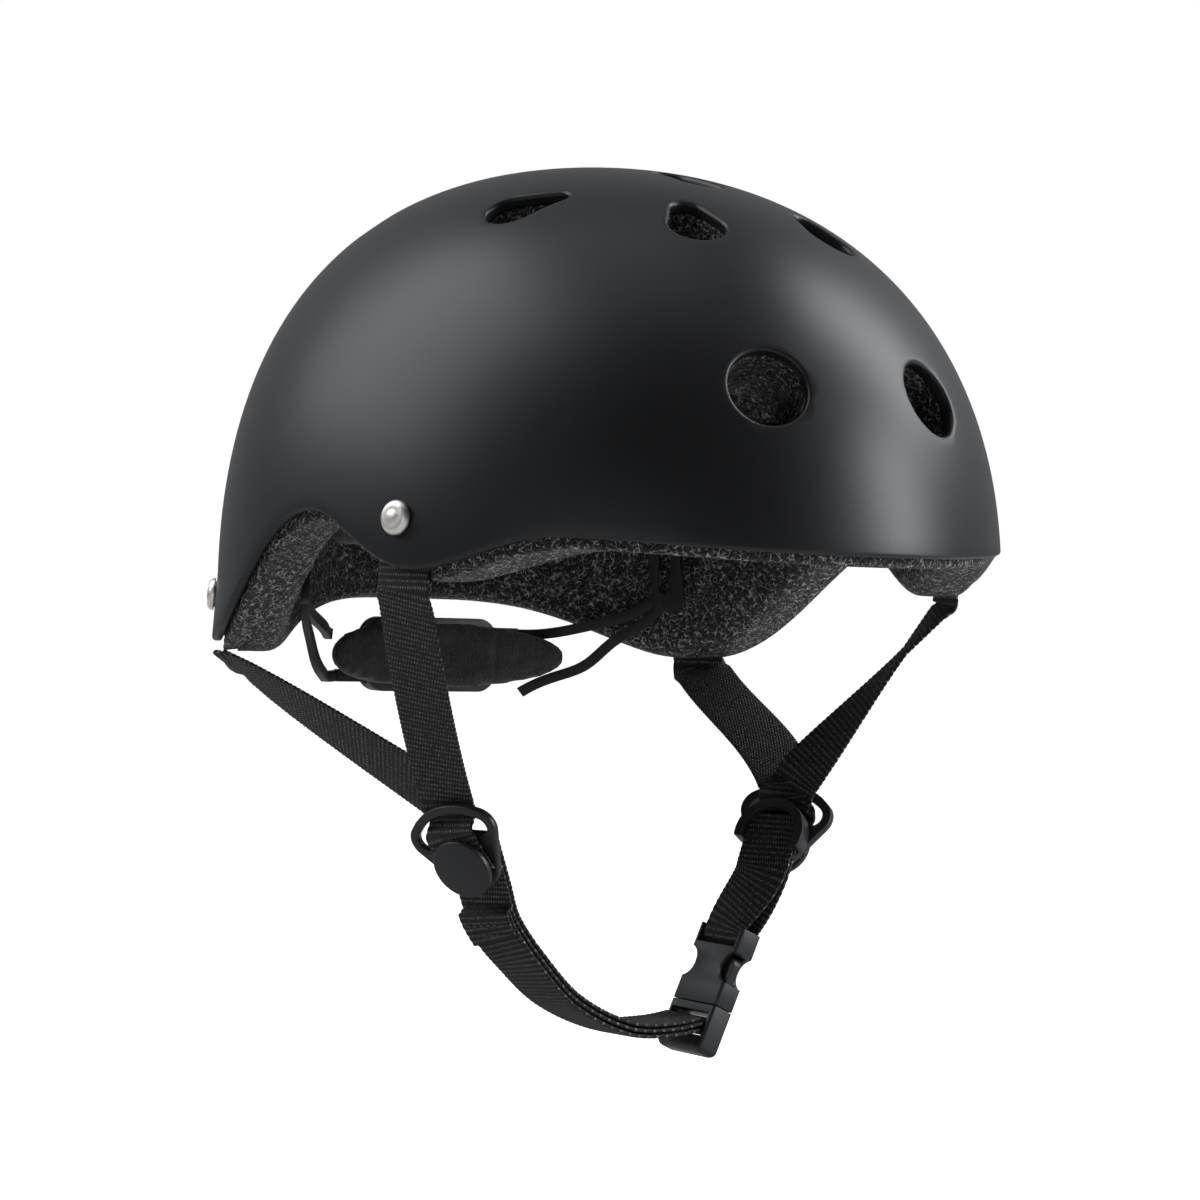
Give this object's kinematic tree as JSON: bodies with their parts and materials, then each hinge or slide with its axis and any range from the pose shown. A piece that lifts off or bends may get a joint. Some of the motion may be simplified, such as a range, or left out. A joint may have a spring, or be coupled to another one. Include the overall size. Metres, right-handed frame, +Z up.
{
  "type": "skateboard helmet",
  "caption": "Round black skate helmet: hard vented shell, foam liner, comfort pads, webbing harness with a side-release buckle and a dial-tightened nape cradle.",
  "frame": {"origin": "centre of the head opening, level with the brow rim", "axes": "+Z up to the crown, -Y to the wearer's forehead, +X to the wearer's left"},
  "size_m": [0.219, 0.2601, 0.2669],
  "materials": {
    "shell_plastic": "matte black injection-moulded shell",
    "liner_foam": "black beaded foam",
    "fitting_plastic": "satin black moulded plastic",
    "cradle_plastic": "soft black plastic",
    "grip_rubber": "matte black grip",
    "webbing": "black ribbed webbing",
    "pad_fabric": "black brushed knit over foam",
    "rivet_metal": "satin nickel plated",
    "steel": "plain"
  },
  "bodies": {
    "helmet": {"shell": "shell_plastic", "foam_liner": "liner_foam", "front_rivets": "rivet_metal", "rear_rivets": "rivet_metal", "rivet_washers": "steel", "front_strap_right": "webbing", "front_strap_left": "webbing", "rear_strap_right": "webbing", "rear_strap_left": "webbing", "strap_ring_right": "fitting_plastic", "strap_ring_left": "fitting_plastic", "ring_cap_right": "fitting_plastic", "ring_cap_left": "fitting_plastic", "chin_strap_left": "webbing", "chin_strap_right": "webbing", "chin_strap_tail": "webbing", "buckle_socket": "fitting_plastic", "brow_pad": "pad_fabric", "rear_pad": "pad_fabric", "crown_pad": "pad_fabric", "side_pad_right": "pad_fabric", "side_pad_left": "pad_fabric", "cradle_anchor_right": "fitting_plastic", "cradle_anchor_left": "fitting_plastic"},
    "cradle": {"cradle_arm_right": "cradle_plastic", "cradle_arm_left": "cradle_plastic"},
    "nape": {"nape_housing": "fitting_plastic", "housing_cover": "fitting_plastic", "detent_spring": "steel", "nape_pad": "pad_fabric"},
    "dial": {"dial_knob": "grip_rubber", "dial_pinion": "fitting_plastic", "dial_screw": "steel"},
    "left_slider": {"rack_left": "cradle_plastic"},
    "right_slider": {"rack_right": "cradle_plastic"},
    "plug": {"buckle_plug": "fitting_plastic"},
    "front_prong": {"buckle_prong_front": "fitting_plastic"},
    "rear_prong": {"buckle_prong_rear": "fitting_plastic"}
  },
  "joints": [
    {"name": "cradle_tilt", "type": "hinge", "parent": "helmet", "child": "cradle", "pos_m": [0, 0.056, 0.014], "axis": [1, 0, 0], "range_deg": [-8, 0]},
    {"name": "nape_slide", "type": "slide", "parent": "cradle", "child": "nape", "axis": [0, -1, 0], "range_m": [0, 0.0071]},
    {"name": "dial_turn", "type": "hinge", "parent": "nape", "child": "dial", "pos_m": [0, 0.1, -0.033], "axis": [0, -1, 0], "range_deg": [0, 120]},
    {"name": "rack_left_slide", "type": "slide", "parent": "cradle", "child": "left_slider", "axis": [-0.806, -0.5919, 0], "range_m": [0, 0.012], "deforming": ["cradle_arm_left"]},
    {"name": "rack_right_slide", "type": "slide", "parent": "cradle", "child": "right_slider", "axis": [0.806, -0.5919, 0], "range_m": [0, 0.012], "deforming": ["cradle_arm_right"]},
    {"name": "plug_slide", "type": "slide", "parent": "helmet", "child": "plug", "axis": [-0.4067, 0, -0.9135], "range_m": [0, 0.022], "deforming": ["chin_strap_right", "chin_strap_tail"]},
    {"name": "prong_front_flex", "type": "hinge", "parent": "plug", "child": "front_prong", "pos_m": [0.03536, -0.02145, -0.13632], "axis": [-0.9135, 0, 0.4067], "range_deg": [0, 10]},
    {"name": "prong_rear_flex", "type": "hinge", "parent": "plug", "child": "rear_prong", "pos_m": [0.03536, -0.00655, -0.13632], "axis": [0.9135, 0, -0.4067], "range_deg": [0, 10]}
  ],
  "couplings": [
    {"joint": "nape_slide", "follows": "dial_turn", "m_per_rad": 0.0033423},
    {"joint": "rack_left_slide", "follows": "dial_turn", "m_per_rad": 0.0056471},
    {"joint": "rack_right_slide", "follows": "dial_turn", "m_per_rad": 0.0056471},
    {"joint": "prong_front_flex", "follows": "plug_slide", "rad_per_m": 7.9},
    {"joint": "prong_rear_flex", "follows": "plug_slide", "rad_per_m": 7.9}
  ]
}
